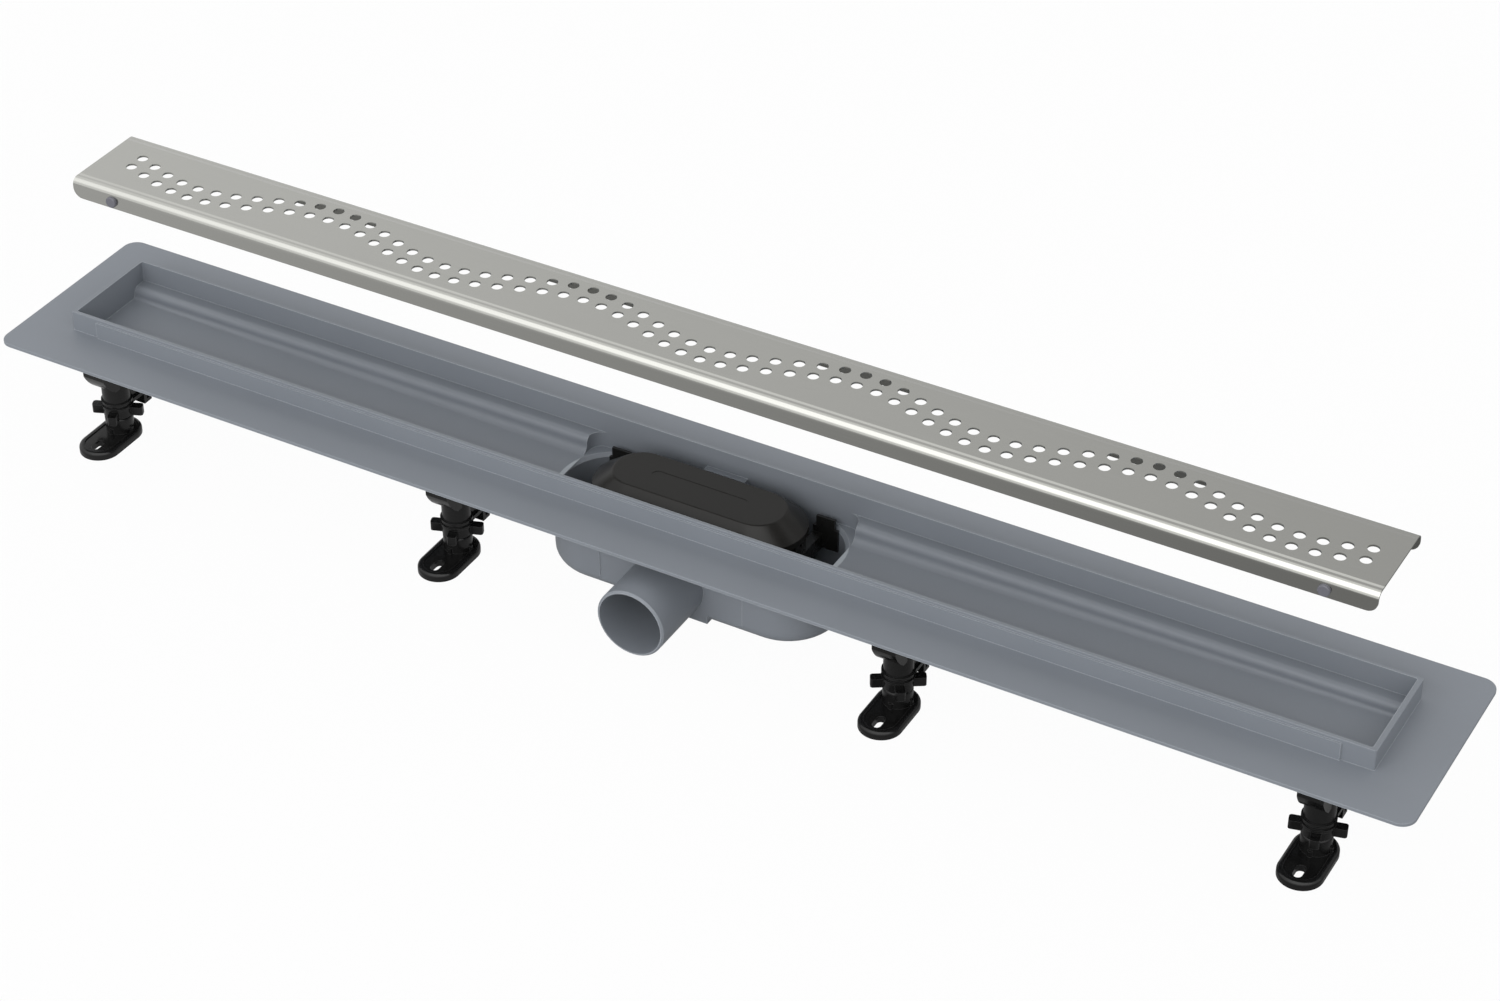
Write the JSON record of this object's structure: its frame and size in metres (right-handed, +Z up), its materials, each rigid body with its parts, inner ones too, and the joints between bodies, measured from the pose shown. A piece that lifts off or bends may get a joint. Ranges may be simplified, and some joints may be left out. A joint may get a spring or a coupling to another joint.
{
  "type": "shower channel drain",
  "caption": "Long shower drain: flanged trough with a central trap and side outlet, on screw feet, with a perforated steel grate lifted off above it.",
  "frame": {"origin": "on the ground under the middle of the channel, midway between the outer feet and on the trough's centre line", "axes": "+X along the channel, -Y the way the outlet points, +Z up"},
  "size_m": [0.91, 0.1458, 0.1765],
  "materials": {
    "channel_plastic": "moulded, fine satin",
    "grate_steel": "fine linear brushing",
    "spacer_plastic": "moulded satin",
    "insert_plastic": "moulded gloss",
    "hood_plastic": "moulded satin",
    "seal_rubber": "matt",
    "foot_plastic": "moulded gloss"
  },
  "bodies": {
    "channel": {"channel_body": "channel_plastic", "grate": "grate_steel", "grate_spacer_1": "spacer_plastic", "grate_spacer_2": "spacer_plastic", "grate_spacer_3": "spacer_plastic", "grate_spacer_4": "spacer_plastic", "trap_insert": "insert_plastic", "trap_seal": "seal_rubber", "trap_hood": "hood_plastic", "foot_bracket_1": "foot_plastic", "foot_bracket_2": "foot_plastic", "foot_bracket_3": "foot_plastic", "foot_bracket_4": "foot_plastic", "foot_bracket_5": "foot_plastic", "foot_bracket_6": "foot_plastic", "foot_bracket_7": "foot_plastic", "foot_bracket_8": "foot_plastic"},
    "foot_nut_1": {"foot_nut_1": "foot_plastic"},
    "foot_base_1": {"foot_base_1": "foot_plastic"},
    "foot_nut_2": {"foot_nut_2": "foot_plastic"},
    "foot_base_2": {"foot_base_2": "foot_plastic"},
    "foot_nut_3": {"foot_nut_3": "foot_plastic"},
    "foot_base_3": {"foot_base_3": "foot_plastic"},
    "foot_nut_4": {"foot_nut_4": "foot_plastic"},
    "foot_base_4": {"foot_base_4": "foot_plastic"},
    "foot_nut_5": {"foot_nut_5": "foot_plastic"},
    "foot_base_5": {"foot_base_5": "foot_plastic"},
    "foot_nut_6": {"foot_nut_6": "foot_plastic"},
    "foot_base_6": {"foot_base_6": "foot_plastic"},
    "foot_nut_7": {"foot_nut_7": "foot_plastic"},
    "foot_base_7": {"foot_base_7": "foot_plastic"},
    "foot_nut_8": {"foot_nut_8": "foot_plastic"},
    "foot_base_8": {"foot_base_8": "foot_plastic"}
  },
  "joints": [
    {"name": "foot_turn_1", "type": "hinge", "parent": "channel", "child": "foot_nut_1", "pos_m": [-0.396, -0.033, 0.0184], "axis": [0, 0, 1], "range_deg": [0, 1800]},
    {"name": "foot_height_1", "type": "slide", "parent": "channel", "child": "foot_base_1", "axis": [0, 0, -1], "range_m": [0, 0.015]},
    {"name": "foot_turn_2", "type": "hinge", "parent": "channel", "child": "foot_nut_2", "pos_m": [-0.1463, -0.033, 0.0184], "axis": [0, 0, 1], "range_deg": [0, 1800]},
    {"name": "foot_height_2", "type": "slide", "parent": "channel", "child": "foot_base_2", "axis": [0, 0, -1], "range_m": [0, 0.015]},
    {"name": "foot_turn_3", "type": "hinge", "parent": "channel", "child": "foot_nut_3", "pos_m": [0.1463, -0.033, 0.0184], "axis": [0, 0, 1], "range_deg": [0, 1800]},
    {"name": "foot_height_3", "type": "slide", "parent": "channel", "child": "foot_base_3", "axis": [0, 0, -1], "range_m": [0, 0.015]},
    {"name": "foot_turn_4", "type": "hinge", "parent": "channel", "child": "foot_nut_4", "pos_m": [0.396, -0.033, 0.0184], "axis": [0, 0, 1], "range_deg": [0, 1800]},
    {"name": "foot_height_4", "type": "slide", "parent": "channel", "child": "foot_base_4", "axis": [0, 0, -1], "range_m": [0, 0.015]},
    {"name": "foot_turn_5", "type": "hinge", "parent": "channel", "child": "foot_nut_5", "pos_m": [-0.396, 0.033, 0.0184], "axis": [0, 0, 1], "range_deg": [0, 1800]},
    {"name": "foot_height_5", "type": "slide", "parent": "channel", "child": "foot_base_5", "axis": [0, 0, -1], "range_m": [0, 0.015]},
    {"name": "foot_turn_6", "type": "hinge", "parent": "channel", "child": "foot_nut_6", "pos_m": [-0.1463, 0.033, 0.0184], "axis": [0, 0, 1], "range_deg": [0, 1800]},
    {"name": "foot_height_6", "type": "slide", "parent": "channel", "child": "foot_base_6", "axis": [0, 0, -1], "range_m": [0, 0.015]},
    {"name": "foot_turn_7", "type": "hinge", "parent": "channel", "child": "foot_nut_7", "pos_m": [0.1463, 0.033, 0.0184], "axis": [0, 0, 1], "range_deg": [0, 1800]},
    {"name": "foot_height_7", "type": "slide", "parent": "channel", "child": "foot_base_7", "axis": [0, 0, -1], "range_m": [0, 0.015]},
    {"name": "foot_turn_8", "type": "hinge", "parent": "channel", "child": "foot_nut_8", "pos_m": [0.396, 0.033, 0.0184], "axis": [0, 0, 1], "range_deg": [0, 1800]},
    {"name": "foot_height_8", "type": "slide", "parent": "channel", "child": "foot_base_8", "axis": [0, 0, -1], "range_m": [0, 0.015]}
  ],
  "couplings": [
    {"joint": "foot_height_1", "follows": "foot_turn_1", "m_per_rad": 0.00047745},
    {"joint": "foot_height_2", "follows": "foot_turn_2", "m_per_rad": 0.00047745},
    {"joint": "foot_height_3", "follows": "foot_turn_3", "m_per_rad": 0.00047745},
    {"joint": "foot_height_4", "follows": "foot_turn_4", "m_per_rad": 0.00047745},
    {"joint": "foot_height_5", "follows": "foot_turn_5", "m_per_rad": 0.00047745},
    {"joint": "foot_height_6", "follows": "foot_turn_6", "m_per_rad": 0.00047745},
    {"joint": "foot_height_7", "follows": "foot_turn_7", "m_per_rad": 0.00047745},
    {"joint": "foot_height_8", "follows": "foot_turn_8", "m_per_rad": 0.00047745}
  ]
}
